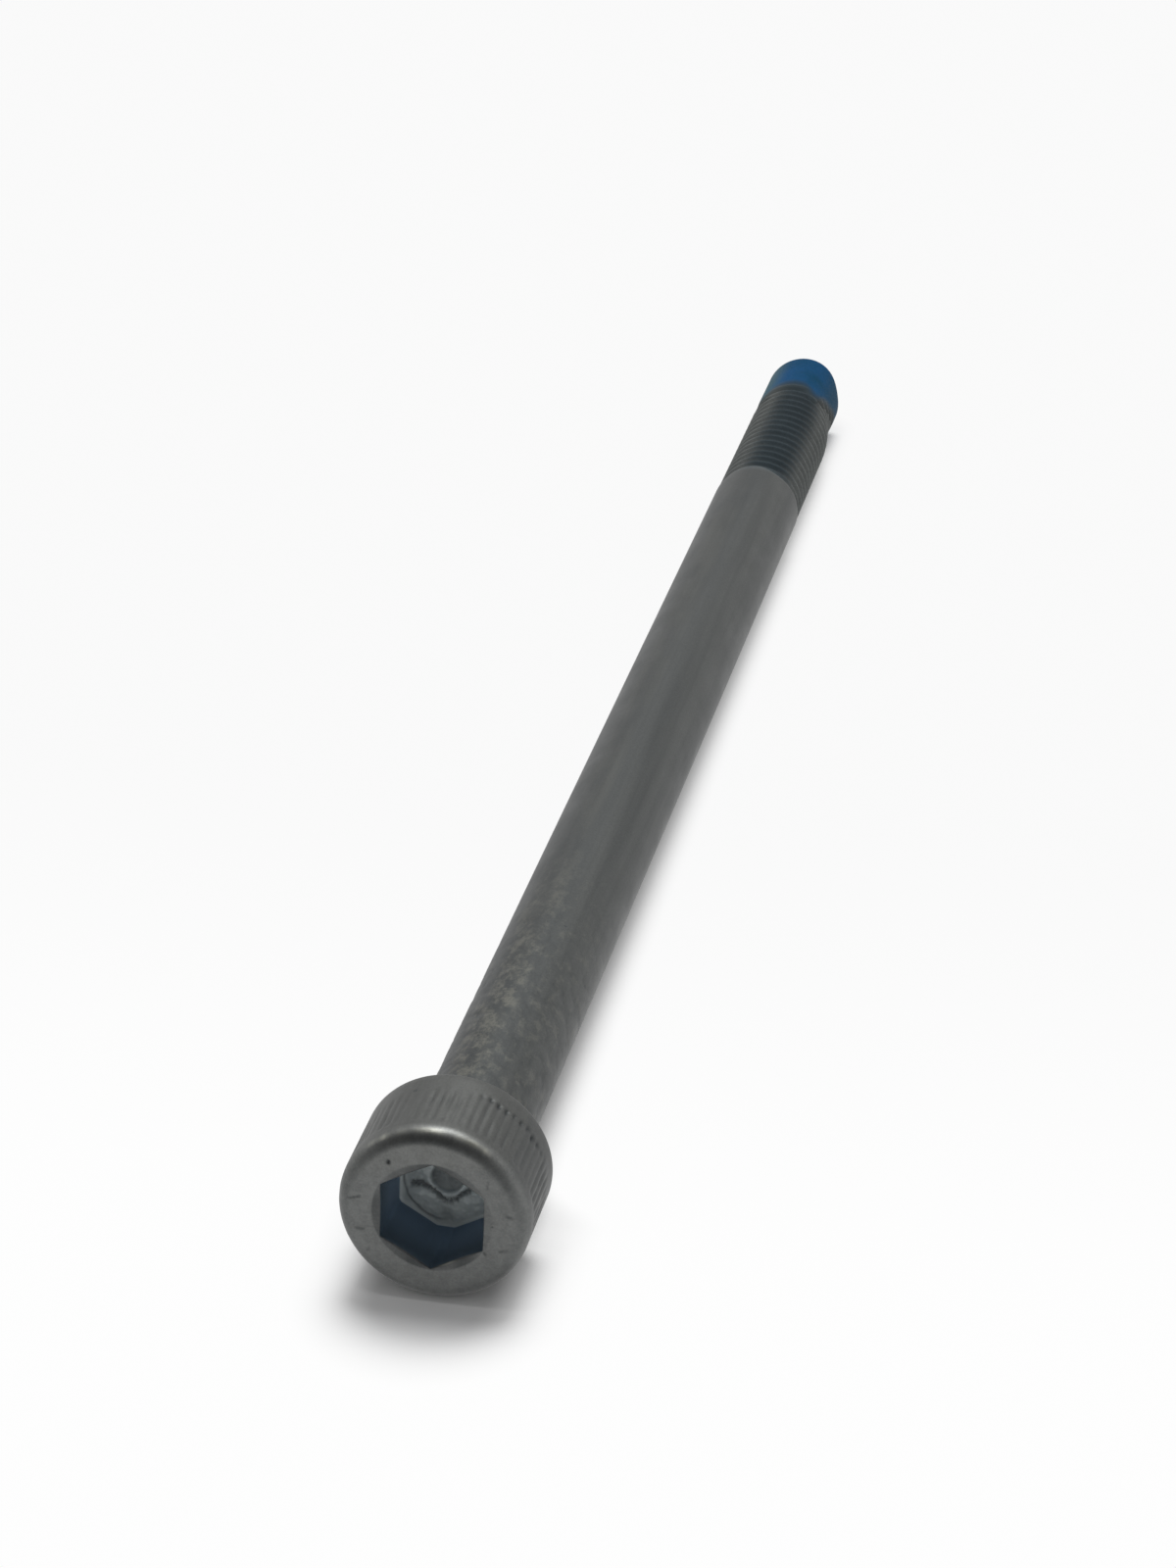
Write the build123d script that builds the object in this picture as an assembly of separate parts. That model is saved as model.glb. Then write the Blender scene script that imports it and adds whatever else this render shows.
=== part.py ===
from build123d import *
import math
import os

# Socket head cap screw, M6 x 110, lying on its head and tip, in millimetres.
# Each piece is drawn along +Z, from the head's seat at 0 to the tip, and is then
# laid down with its axis along +Y. Row axes: +Y towards the tip, +Z up, and the
# origin on the floor under the middle of the screw's length.
# The screw is one solid. The dried thread-locking coat on its tip is the second.
# The helical thread is left plain at its major diameter.

# Driving dimensions
GRIP_LENGTH = 110.0  # seat to tip
SHANK_DIAMETER = 6.0
THREAD_DIAMETER = 5.9  # over the rolled crests
THREAD_LENGTH = 22.8  # tip to the end of the run-out
RUN_OUT = 0.3  # cone between shank and thread

HEAD_DIAMETER = 10.0  # the smooth bands and, flush with them, the knurl's crests
HEAD_HEIGHT = 6.0
RIM_RADIUS = 0.85  # rounded front edge
SEAT_CHAMFER = 0.25
NECK_RADIUS = 0.4  # fillet between seat and shank

KNURL_TEETH = 65
KNURL_START = 1.1  # from the head's face to the first end of the grooves
KNURL_END = 4.8  # from the head's face to their other end
GROOVE_DEPTH = 0.14
CREST_SHARE = 0.3  # part of a tooth's pitch that is crest
FLANK_OVERRUN = 0.3  # how far the groove's cutter reaches out of the head, in depths

SOCKET_MOUTH = 5.36  # across flats at the face
SOCKET_FLOOR = 5.04  # across flats at the floor, drafted by the punch
SOCKET_DEPTH = 3.4
SOCKET_TURN = 31.7  # a corner's angle about the axis, in degrees
COUNTERSINK_RADIUS = 3.12
COUNTERSINK_ANGLE = 30.0  # slope below the face
DISH_RADIUS = 0.95  # the punch's mark in the floor
DISH_DEPTH = 0.35

COAT_LENGTH = 5.8
COAT_THICKNESS = 0.2  # fills the thread under the coat
COAT_END = 0.15  # over the tip's end face
TIP_ROUND = 0.6
CORE_CHAMFER = 0.4  # of the steel under the coat

# Worked out
SHANK_R = SHANK_DIAMETER / 2
THREAD_R = THREAD_DIAMETER / 2
HEAD_R = HEAD_DIAMETER / 2
CORE_R = THREAD_R - COAT_THICKNESS
FACE_Z = -HEAD_HEIGHT
TOOTH_ANGLE = 2 * math.pi / KNURL_TEETH

# The screw rests on the head's back edge and on the tip, where its end is rounded.
REST_Z = -SEAT_CHAMFER
TOUCH_Z = GRIP_LENGTH - TIP_ROUND
TILT = math.atan2(HEAD_R - THREAD_R, TOUCH_Z - REST_Z)
MIDDLE_Z = (GRIP_LENGTH - HEAD_HEIGHT) / 2
SEAT_Y = -MIDDLE_Z * math.cos(TILT)
SEAT_HEIGHT = HEAD_R * math.cos(TILT) + REST_Z * math.sin(TILT)


def turned(outline):
    # A solid of revolution about the screw's axis, from a face in the XZ plane.
    return revolve(outline, Axis.Z, 360)


def blank():
    # The headed blank before knurling: head, neck, shank, thread and tip.
    thread_from = GRIP_LENGTH - THREAD_LENGTH
    coat_from = GRIP_LENGTH - COAT_LENGTH
    steel_end = GRIP_LENGTH - COAT_END
    rim_mid = RIM_RADIUS * (1 - math.sqrt(0.5))
    neck_mid = NECK_RADIUS * (1 - math.sqrt(0.5))
    with BuildSketch(Plane.XZ) as profile:
        with BuildLine():
            Line((0, FACE_Z), (HEAD_R - RIM_RADIUS, FACE_Z))
            ThreePointArc(
                (HEAD_R - RIM_RADIUS, FACE_Z),
                (HEAD_R - rim_mid, FACE_Z + rim_mid),
                (HEAD_R, FACE_Z + RIM_RADIUS),
            )
            Polyline(
                (HEAD_R, FACE_Z + RIM_RADIUS),
                (HEAD_R, -SEAT_CHAMFER),
                (HEAD_R - SEAT_CHAMFER, 0),
                (SHANK_R + NECK_RADIUS, 0),
            )
            ThreePointArc(
                (SHANK_R + NECK_RADIUS, 0),
                (SHANK_R + neck_mid, neck_mid),
                (SHANK_R, NECK_RADIUS),
            )
            Polyline(
                (SHANK_R, NECK_RADIUS),
                (SHANK_R, thread_from),
                (THREAD_R, thread_from + RUN_OUT),
                (THREAD_R, coat_from),
                (CORE_R, coat_from),
                (CORE_R, steel_end - CORE_CHAMFER),
                (CORE_R - CORE_CHAMFER, steel_end),
                (0, steel_end),
                (0, FACE_Z),
            )
        make_face()
    return turned(profile.sketch)


def knurl_grooves():
    # V grooves pressed into the head, one of them centred on the side laid down.
    over = 1 + FLANK_OVERRUN
    half_width = HEAD_R * TOOTH_ANGLE * (1 - CREST_SHARE) / 2
    lip = GROOVE_DEPTH * FLANK_OVERRUN
    with BuildSketch(Plane.XY.offset(FACE_Z + KNURL_START)) as grooves:
        with PolarLocations(HEAD_R, KNURL_TEETH, start_angle=90):
            Polygon((-GROOVE_DEPTH, 0), (lip, over * half_width), (lip, -over * half_width), align=None)
    return extrude(grooves.sketch, amount=KNURL_END - KNURL_START)


def hex_outline(across_flats, height):
    with BuildSketch(Plane.XY.offset(height)) as outline:
        RegularPolygon(across_flats / 2, 6, major_radius=False, rotation=SOCKET_TURN)
    return outline.sketch


def socket():
    # The drafted hexagon, its countersunk mouth and the mark in its floor.
    floor_z = FACE_Z + SOCKET_DEPTH
    hexagon = loft([hex_outline(SOCKET_MOUTH, FACE_Z), hex_outline(SOCKET_FLOOR, floor_z)])
    cone_depth = COUNTERSINK_RADIUS * math.tan(math.radians(COUNTERSINK_ANGLE))
    with BuildSketch(Plane.XZ) as cuts:
        with BuildLine():
            Polyline((0, FACE_Z), (COUNTERSINK_RADIUS, FACE_Z), (0, FACE_Z + cone_depth), close=True)
        make_face()
    with BuildSketch(Plane.XZ) as mark:
        with BuildLine():
            Polyline(
                (0, floor_z),
                (DISH_RADIUS, floor_z),
                (DISH_RADIUS / 2, floor_z + DISH_DEPTH),
                (0, floor_z + DISH_DEPTH),
                close=True,
            )
        make_face()
    return hexagon + turned(cuts.sketch) + turned(mark.sketch)


def screw():
    return blank() - knurl_grooves() - socket()


def thread_lock_coat():
    # A dried coat over the first threads and the end, flush with the crests.
    start = GRIP_LENGTH - COAT_LENGTH
    steel_end = GRIP_LENGTH - COAT_END
    round_mid = TIP_ROUND * (1 - math.sqrt(0.5))
    with BuildSketch(Plane.XZ) as profile:
        with BuildLine():
            Polyline(
                (0, steel_end),
                (CORE_R - CORE_CHAMFER, steel_end),
                (CORE_R, steel_end - CORE_CHAMFER),
                (CORE_R, start),
                (THREAD_R, start),
                (THREAD_R, GRIP_LENGTH - TIP_ROUND),
            )
            ThreePointArc(
                (THREAD_R, GRIP_LENGTH - TIP_ROUND),
                (THREAD_R - round_mid, GRIP_LENGTH - round_mid),
                (THREAD_R - TIP_ROUND, GRIP_LENGTH),
            )
            Polyline((THREAD_R - TIP_ROUND, GRIP_LENGTH), (0, GRIP_LENGTH), (0, steel_end))
        make_face()
    return turned(profile.sketch)


def laid(shape):
    # Axis down along +Y, tip lowered by the tilt, seat's centre over its place.
    rest = Location((0, SEAT_Y, SEAT_HEIGHT), (-90 - math.degrees(TILT), 0, 0))
    return rest * shape


NODES = {
    "screw": screw,
    "thread_lock_coat": thread_lock_coat,
}

os.makedirs("parts", exist_ok=True)
for name, make in NODES.items():
    export_step(laid(make()), f"parts/{name}.step")
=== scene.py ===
"""Looks of a socket head cap screw with a blue thread-locking coat, lying on its side.

The steel is one mesh, a skin of rings that starts in the middle of the socket's floor,
comes out over the head and runs along the shank and the helical thread to the tip.
The dried coat is a second mesh over the last threads. Both are drawn in the screw's
own frame, in millimetres: +Z runs along the axis from the head's seat to the tip.
Angles are seen from the head, in degrees from the right and through the top.
"""

import math

import bpy
import numpy as np
from mathutils import Matrix, Vector, noise


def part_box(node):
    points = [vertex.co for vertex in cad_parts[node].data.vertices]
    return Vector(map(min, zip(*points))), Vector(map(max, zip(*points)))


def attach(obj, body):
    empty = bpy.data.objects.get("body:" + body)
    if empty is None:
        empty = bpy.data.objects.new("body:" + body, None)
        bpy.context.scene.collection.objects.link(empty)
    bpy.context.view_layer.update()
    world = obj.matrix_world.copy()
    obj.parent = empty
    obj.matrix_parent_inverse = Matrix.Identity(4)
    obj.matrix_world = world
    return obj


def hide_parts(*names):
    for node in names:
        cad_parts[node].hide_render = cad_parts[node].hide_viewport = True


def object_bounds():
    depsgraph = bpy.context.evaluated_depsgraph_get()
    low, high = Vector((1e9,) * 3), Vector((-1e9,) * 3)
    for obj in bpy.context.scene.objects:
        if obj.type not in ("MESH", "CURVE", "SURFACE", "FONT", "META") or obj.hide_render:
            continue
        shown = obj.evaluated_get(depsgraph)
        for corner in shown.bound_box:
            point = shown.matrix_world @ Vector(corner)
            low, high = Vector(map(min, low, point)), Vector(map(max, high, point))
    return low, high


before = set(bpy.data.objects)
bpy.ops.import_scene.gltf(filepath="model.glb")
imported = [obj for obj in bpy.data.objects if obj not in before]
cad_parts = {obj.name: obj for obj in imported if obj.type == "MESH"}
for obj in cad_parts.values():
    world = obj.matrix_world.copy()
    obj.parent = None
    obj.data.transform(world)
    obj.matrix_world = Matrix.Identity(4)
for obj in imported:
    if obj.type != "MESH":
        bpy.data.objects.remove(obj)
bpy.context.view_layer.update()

MM = 0.001
TAU = 2 * math.pi

# Sizes of the screw, in millimetres, as in the CAD part
GRIP_LENGTH = 110.0
SHANK_R = 3.0
THREAD_R = 2.95
HEAD_R = 5.0
FACE_Z = -6.0
RIM_RADIUS = 0.85
SEAT_CHAMFER = 0.25
NECK_RADIUS = 0.4
KNURL_TEETH = 65
GROOVE_DEPTH = 0.14
SOCKET_MOUTH = 5.36
SOCKET_FLOOR = 5.04
SOCKET_DEPTH = 3.4
SOCKET_CORNER = 28.3  # angle of one corner
COUNTERSINK_R = 3.12
COAT_R = 2.95
TIP_ROUND = 0.6  # of the CAD part's tip, which touches the floor
FLOOR_Z = FACE_Z + SOCKET_DEPTH  # of the socket's floor

# Where the real surface departs from the CAD part's plainer one, in millimetres
THREAD_START = 87.4  # end of the plain shank
THREAD_PITCH = 1.0
THREAD_DEPTH = 0.36  # as worn and filled with dirt
UNDER_COAT_DEPTH = 0.04  # how far the crests lie below the coat
TIP_TAPER = 0.9  # how far the steel's end draws in
TIP_WEAR = 0.6  # on the right side of the tip
STEEL_END = 109.4  # under the coat
KNURL_FROM = -4.8
KNURL_TO = -1.4
COUNTERSINK_SLOPE = 13.0  # in degrees
HEAD_OFFSET = -0.14  # the forged head sits a little off the shank's axis
COAT_LENGTH = 6.5
DOME_INSET = 0.6  # how far the coat's end draws in, and over which length
DOME_LENGTH = 0.6

# The helix starts in the plain shank, where its depth is still nothing
HELIX_FROM = 86.3
HELIX_PITCHES = 21
ROWS_PER_PITCH = 10

# Colours
STEEL_DARK = (0.058, 0.062, 0.062, 1.0)
STEEL_LIGHT = (0.086, 0.090, 0.088, 1.0)
# Painted light: the face is given twice the side's tone
STEEL_FACE_PAINTED_LIGHTER = (0.188, 0.193, 0.189, 1.0)
STEEL_SIDE = (0.093, 0.096, 0.094, 1.0)
# Painted reflection on the thread: lighter sides and a dark band along the middle
THREAD_SIDES_PAINTED_LIGHTER = (0.190, 0.200, 0.197, 1.0)
THREAD_PAINTED_DARK_BAND = (0.048, 0.066, 0.078, 1.0)
# Lighter tone for scuffs and for a painted highlight
STEEL_SCUFF_AND_HIGHLIGHT = (0.150, 0.150, 0.132, 1.0)
# Pale tone for the bloom near the head and for a painted highlight by the seat
STEEL_BLOOM_AND_HIGHLIGHT = (0.150, 0.148, 0.128, 1.0)
# Lighter steel for the painted highlights on the rim and on the burr
STEEL_WORN_HIGHLIGHT = (0.46, 0.46, 0.40, 1.0)
# Dark tone for grime and for painted shade
STEEL_DIRT_AND_SHADE = (0.028, 0.033, 0.037, 1.0)
SOCKET_WALL = (0.150, 0.220, 0.310, 1.0)
# The walls' darker tone at the mouth is painted shade
SOCKET_LIP_PAINTED_SHADE = (0.050, 0.078, 0.105, 1.0)
# The floor's pale tone is painted light, for what it mirrors
SOCKET_BED_PAINTED_LIGHT = (0.520, 0.570, 0.565, 1.0)
# Painted light: the coat's lighter blue on top
COAT_PAINTED_LIGHTER = (0.006, 0.066, 0.172, 1.0)
COAT_DEEP = (0.002, 0.050, 0.106, 1.0)
# Thin film showing the steel: painted dark band and lighter sides, as on the thread
COAT_THIN_PAINTED_DARK_BAND = (0.040, 0.054, 0.062, 1.0)
COAT_THIN_SIDES_PAINTED_LIGHTER = (0.085, 0.093, 0.092, 1.0)
# Painted reflection: teal on the coat's left side
COAT_PAINTED_SIDE_REFLECTION = (0.055, 0.115, 0.135, 1.0)

# Light. Each lamp has a place and a diameter, in metres, and a power in watts: the main
# one hangs beyond the tip, and a small one over the head gives the rim its glint
MAIN_LAMP = ((0.01, 0.17, 0.62), 0.3, 2.6)
GLINT_LAMP = ((-0.09, -0.09, 0.60), 0.08, 0.17)
FILL_LEVEL = 0.29  # what the surroundings add to the light
MIRRORED_LEVEL = 0.97  # what the surroundings are in a reflection
DARK_TOWARDS = (-0.10, -0.72, 0.69)  # middle of their dark part
DARK_LEVEL = 0.05
DARK_SPREAD = (0.3, 0.75)  # cosines of the angles where it starts and is full

# The floor turns plain white away from the screw's shadow: distances in millimetres
FLOOR_TONE = 0.93  # of the lit floor
FLOOR_FAR = 0.953  # level of the plain white from the screw's middle on
FLOOR_NEAR = 0.988  # and in front of the head
SHADOW_MIDDLE_X = -0.3
SHANK_SHADOW = (1.0, 4.2)  # from the axis, where the lit floor ends and plain white starts
HEAD_SHADOW = (2.6, 7.6)
HEAD_SHADOW_ENDS = (8.0, 12.0)  # from the head's face, where it narrows to the shank's
MIRRORED_WHITE = 0.4  # share of white in the screw's reflection of the floor near it
FLOOR_HALF = 3000.0  # half of the floor's side

BUMP_DEPTH = 0.03  # of the finest grain, in millimetres

# The camera's place and what it looks at, in millimetres, its lens and its sensor
CAMERA_PLACE = (43.842, -226.598, 121.717)
CAMERA_TARGET = (-2.224, -10.386, 4.968)
CAMERA_LENS = 95.095
SENSOR_SIDE = 36.0

# How finely the skin is divided
HEAD_COLUMNS = KNURL_TEETH * 8
SOCKET_COLUMNS = 240
SHANK_COLUMNS = 104


# ---------------------------------------------------------------- numbers and noise


def smooth(low, high, value):
    """0 below low, 1 above high, and a soft step between."""
    t = np.clip((value - low) / (high - low), 0, 1)
    return t * t * (3 - 2 * t)


def hump(distance, width):
    """1 at no distance, falling off softly to nothing past the width."""
    return np.exp(-((distance / width) ** 2))


def grain(x, y, z, scale, seed=0.0):
    """Smooth noise from -1 to 1, with features of about 1 / scale millimetres."""
    x, y, z = np.broadcast_arrays(x, y, z)
    spots = zip(x.ravel() * scale + seed, y.ravel() * scale, z.ravel() * scale)
    return np.array([noise.noise(Vector(spot)) for spot in spots]).reshape(x.shape)


def angle_apart(turn, angle):
    """Degrees between each turn, in radians, and an angle in degrees."""
    return (np.degrees(turn) - angle + 180) % 360 - 180


def turns(count, start=0.0):
    return np.radians(start) + np.arange(count) * TAU / count


def along_line(x, y, start, end):
    """Distance of each point to a straight stretch from start to end."""
    run = np.subtract(end, start)
    t = ((x - start[0]) * run[0] + (y - start[1]) * run[1]) / run.dot(run)
    t = np.clip(t, 0, 1)
    return np.hypot(x - start[0] - t * run[0], y - start[1] - t * run[1])


# ---------------------------------------------------------------- the skin of rings


class Skin:
    """Points in the screw's own frame, what the surface is like there, and the faces."""

    def __init__(self):
        self.points = []
        # The first mark is grime together with painted shade, the second polish together with
        # painted highlight
        self.marks = {"dirt": [], "shine": [], "socket": []}
        self.faces = []

    def ring(self, radius, turn, z, **marks):
        """Adds a ring of points and returns their numbers. Marks run from 0 to 1."""
        radius, turn, z = np.broadcast_arrays(radius, turn, z)
        first = len(self.points)
        self.points.extend(zip(radius * np.cos(turn), -radius * np.sin(turn), z))
        for name, values in self.marks.items():
            values.extend(np.broadcast_to(marks.get(name, 0.0), radius.shape))
        return list(range(first, first + len(radius)))

    def point(self, z, **marks):
        """Adds a point on the axis."""
        return self.ring([0.0], [0.0], z, **marks)[0]

    def strip(self, ring, following, closed=True):
        """Quads between two rings of the same count."""
        count = len(ring)
        for i in range(count if closed else count - 1):
            j = (i + 1) % count
            self.faces.append((ring[i], following[i], following[j], ring[j]))

    def zip_up(self, ring, turn, following, following_turn):
        """Triangles between two even rings of any counts, led by their angles."""
        a, b = len(ring), len(following)
        apart = angle_apart(following_turn, math.degrees(turn[0]))
        first = int(np.argmin(np.abs(apart)))
        shift = apart[first] / 360
        i = j = 0
        while i < a or j < b:
            here, there = ring[i % a], following[(first + j) % b]
            if j == b or (i < a and (i + 1) / a <= (j + 1) / b + shift):
                self.faces.append((here, there, ring[(i + 1) % a]))
                i += 1
            else:
                self.faces.append((here, there, following[(first + j + 1) % b]))
                j += 1

    def fan(self, middle, ring):
        """Triangles from a point out to the ring that comes after it."""
        count = len(ring)
        for i in range(count):
            self.faces.append((middle, ring[i], ring[(i + 1) % count]))

    def cap(self, ring, middle):
        """Triangles from the last ring in to one point."""
        count = len(ring)
        for i in range(count):
            self.faces.append((ring[i], middle, ring[(i + 1) % count]))

    def piece(self, name, placed, material):
        """The finished object, laid down in the row's frame and riding on its one body."""
        own = np.array(self.points, dtype=float)
        moved = own.copy()
        moved[:, 0] += HEAD_OFFSET * (1 - smooth(-0.3, 0.6, own[:, 2]))
        data = bpy.data.meshes.new(name)
        data.from_pydata([placed @ Vector(spot * MM) for spot in moved], [], self.faces)
        for title, values in self.marks.items():
            data.attributes.new(title, "FLOAT", "POINT").data.foreach_set("value", values)
        place = data.attributes.new("place", "FLOAT_VECTOR", "POINT")
        place.data.foreach_set("vector", own.ravel())
        data.shade_smooth()
        data.materials.append(material)
        made = bpy.data.objects.new(name, data)
        bpy.context.scene.collection.objects.link(made)
        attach(made, "root")
        return made


# ---------------------------------------------------------------- socket


WALL = 0.5  # values of the mark "socket"
BED = 1.0
WALL_FOOT_FILLET = 0.2
BED_ROUNDING = 2.84  # the floor's corners are rounded to this distance from the axis
BOTTOM_ROUNDING = 0.2  # and the lowest one by this much more
MOUTH_LIP = 0.02  # how far the walls' upper edge lies below the countersink's line


def hexagon(across_flats, turn):
    """Distance from the axis to a hexagon's side, at each turn."""
    from_corner = np.radians((np.degrees(turn) - SOCKET_CORNER) % 60)
    return across_flats / 2 / np.cos(from_corner - math.radians(30))


# A tear in the forged floor, left by the punch: x and height in millimetres
TEAR = [(-1.85, -0.3), (-1.35, -0.25), (-0.9, -0.5), (-0.5, -0.75), (-0.35, -1.05)]
TEAR += [(0.15, -1.15), (0.5, -0.95), (0.75, -0.6), (1.1, -0.45)]


def floor_relief(x, y):
    """Height of the forged floor above its plane, towards the mouth, and how dark it is: painted
    shade in its hollows, lighter on the raised burrs and lip.

    The punch left a round recess with a raised lip, a tear below it, a dimple and a
    ring groove; the rest is folded and burred."""
    middle = np.hypot(x, y - 0.25)
    recess = 1 - smooth(0.76, 0.9, middle)
    lip = hump(middle - 0.98, 0.1) * (1 - smooth(-0.6, 0.9, y))
    crack = np.min([along_line(x, y, a, b) for a, b in zip(TEAR, TEAR[1:])], axis=0)
    crack = crack + 0.1 * grain(x, y, 0, 4.0) + 0.1 * grain(x, y, 5.0, 9.0)
    torn = hump(np.maximum(crack, 0), 0.14)
    dimple = hump(np.hypot(x + 0.1, y + 1.85), 0.42)
    groove = hump(np.hypot(x, y) - 2.28, 0.07) * (1 - smooth(-0.9, 0.3, x))
    folds = 0.08 * grain(x, y, 1.0, 1.6) + 0.045 * grain(x, y, 2.0, 4.5)
    burrs = 0.07 * hump(np.hypot(x + 1.3, y + 0.75), 0.35)
    burrs = burrs + 0.06 * hump(np.hypot(x - 0.95, y + 1.1), 0.32)
    height = folds + burrs + 0.05 * lip - 0.2 * recess
    height = height - 0.16 * torn - 0.05 * dimple - 0.03 * groove
    # Painted shade: darker in the tear, recess, dimple, groove and the folds' hollows, lighter on
    # the burrs and lip; besides, a darker patch on the left
    dirt = 0.9 * torn + 0.65 * recess + 0.35 * dimple + 0.7 * groove
    dirt = dirt - 1.5 * burrs - 0.3 * lip + 0.15 + 1.2 * np.maximum(-folds, 0)
    dirt = dirt + 0.3 * hump(np.hypot(x + 1.4, y - 0.1), 0.7)
    return height, np.clip(dirt, 0, 1)


def add_bed(skin, turn, reach):
    """The socket's floor, out to the fillet at the walls' foot."""
    height, dirt = floor_relief(np.array([0.0]), np.array([0.0]))
    middle = skin.point(FLOOR_Z - height, dirt=dirt, socket=BED)
    last = None
    for share in np.linspace(0.025, 1, 44):
        radius = share * reach
        height, dirt = floor_relief(radius * np.cos(turn), radius * np.sin(turn))
        height = height * (1 - smooth(0.93, 1, share))
        ring = skin.ring(radius, turn, FLOOR_Z - height, dirt=dirt, socket=BED)
        if last is None:
            skin.fan(middle, ring)
        else:
            skin.strip(last, ring)
        last = ring
    return last


def add_wall_foot(skin, bed_ring, turn, reach):
    """The fillet between the socket's floor and its walls."""
    last = bed_ring
    for angle in (25, 50, 70, 90):
        out = WALL_FOOT_FILLET * math.sin(math.radians(angle))
        rise = WALL_FOOT_FILLET * (1 - math.cos(math.radians(angle)))
        kind = BED if angle < 60 else WALL
        ring = skin.ring(reach + out, turn, FLOOR_Z - rise, socket=kind)
        skin.strip(last, ring)
        last = ring
    return last


def add_walls(skin, foot_ring, turn, wall_foot, edge_z):
    """The drafted walls, up to their edge under the countersink."""
    last = foot_ring
    mouth = hexagon(SOCKET_MOUTH, turn)
    foot_z = FLOOR_Z - WALL_FOOT_FILLET
    for share in np.linspace(0.14, 1, 9):
        z = foot_z + (edge_z - foot_z) * share
        radius = wall_foot + (mouth - wall_foot) * (FLOOR_Z - z) / SOCKET_DEPTH
        scuff = 0.012 * grain(radius * np.cos(turn), radius * np.sin(turn), z, 1.5)
        kind = WALL * smooth(1.02, 0.97, share)
        ring = skin.ring(radius + scuff * (1 - share), turn, z, socket=kind)
        skin.strip(last, ring)
        last = ring
    return last


def add_countersink(skin, edge_ring, turn, edge_z):
    """The cone from the walls' edge to the face, darkened unevenly, with one burr painted bright as
    a highlight.
    """
    last = edge_ring
    mouth = hexagon(SOCKET_MOUTH, turn)
    cone_z = edge_z - MOUTH_LIP
    uneven_darkening = np.clip(0.4 + 0.5 * grain(np.cos(turn), np.sin(turn), 0.0, 1.6), 0.05, 0.8)
    for share in (0.08, 0.3, 0.88):
        radius = mouth + (COUNTERSINK_R - mouth) * share
        z = cone_z + (FACE_Z - cone_z) * share - 0.004
        # Painted highlight: the burr is a lighter patch of colour, with no shape of its own
        burr = 0.6 * hump(angle_apart(turn, 286), 8) * (share < 0.2)
        ring = skin.ring(radius, turn, z, dirt=uneven_darkening * (1 - burr), shine=burr)
        skin.strip(last, ring)
        last = ring
    ring = skin.ring(COUNTERSINK_R + 0.03, turn, FACE_Z, dirt=0.1)
    skin.strip(last, ring)
    return ring


def add_socket(skin):
    """Floor, walls and countersunk mouth. Returns the mouth's ring and its turns."""
    turn = turns(SOCKET_COLUMNS, SOCKET_CORNER)
    lowest_corner = hump(angle_apart(turn, SOCKET_CORNER - 120), 25)
    rounding = BED_ROUNDING - BOTTOM_ROUNDING * lowest_corner
    wall_foot = np.minimum(hexagon(SOCKET_FLOOR, turn), rounding)
    reach = wall_foot - WALL_FOOT_FILLET
    slope = math.tan(math.radians(COUNTERSINK_SLOPE))
    cone = np.maximum(COUNTERSINK_R - hexagon(SOCKET_MOUTH, turn), 0.0) * slope
    edge_z = FACE_Z + cone + MOUTH_LIP
    ring = add_bed(skin, turn, reach)
    ring = add_wall_foot(skin, ring, turn, reach)
    ring = add_walls(skin, ring, turn, wall_foot, edge_z)
    ring = add_countersink(skin, ring, turn, edge_z)
    return ring, turn


# ---------------------------------------------------------------- head


# Soft dents in the face: angle, distance from the axis, length, lean, depth
DENTS = [
    (170, 4.05, 0.55, 0.5, 0.035),
    (197, 3.9, 0.35, -0.4, 0.03),
    (215, 4.1, 0.2, 0.1, 0.03),
    (38, 3.7, 0.3, 0.9, 0.025),
    (8, 4.05, 0.3, -0.6, 0.03),
    (338, 4.0, 0.35, 0.7, 0.03),
    (327, 3.2, 0.25, -0.3, 0.035),
]
FACE_PIT = (126, 3.71, 0.11, 0.09)  # angle, distance from the axis, radius, depth


def face_marks(x, y):
    """Depth of the dents and the pit in the face, and painted shade that darkens them by their
    depth.
    """
    depth = np.zeros_like(x)
    rough = 1 + 0.5 * grain(x, y, 0.0, 7.0)
    for angle, reach, length, lean, deep in DENTS:
        out = np.array([math.cos(math.radians(angle)), math.sin(math.radians(angle))])
        side = np.array([-out[1], out[0]]) * lean
        half = (out + side) * length / 2
        apart = along_line(x, y, out * reach - half, out * reach + half)
        depth = np.maximum(depth, deep * hump(apart, 0.07))
    depth = depth * rough
    angle, reach, radius, deep = FACE_PIT
    pit_x = reach * math.cos(math.radians(angle))
    pit_y = reach * math.sin(math.radians(angle))
    depth = np.maximum(depth, deep * hump(np.hypot(x - pit_x, y - pit_y), radius))
    # Painted shade: the dents and the pit are darker the deeper they are
    return depth, np.clip(depth * 12, 0, 1)


# Painted highlight: lighter worn places on the rim, where it faces up and mirrors the lamp over the
# head: angle and strength
PAINTED_RIM_HIGHLIGHTS = [(98, 0.4), (92, 0.65), (86, 0.5), (72, 0.35), (64, 0.9), (56, 0.6)]
PAINTED_RIM_HIGHLIGHTS += [(109, 0.3), (121, 0.6), (130, 0.3)]


def rim_shine(turn, angle, x, y):
    """How polished the rim's rounding is, where it leans by that angle. The lighter colour it brings
    is a painted highlight, kept to the lean that mirrors the lamp.
    """
    lit = sum(strength * hump(angle_apart(turn, place), 3.6) for place, strength in PAINTED_RIM_HIGHLIGHTS)
    band = smooth(44, 54, angle) * (1 - smooth(62, 72, angle))
    return np.clip(lit * band * (0.85 + 0.5 * grain(x, y, 0.0, 5.0)), 0, 1)


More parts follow.
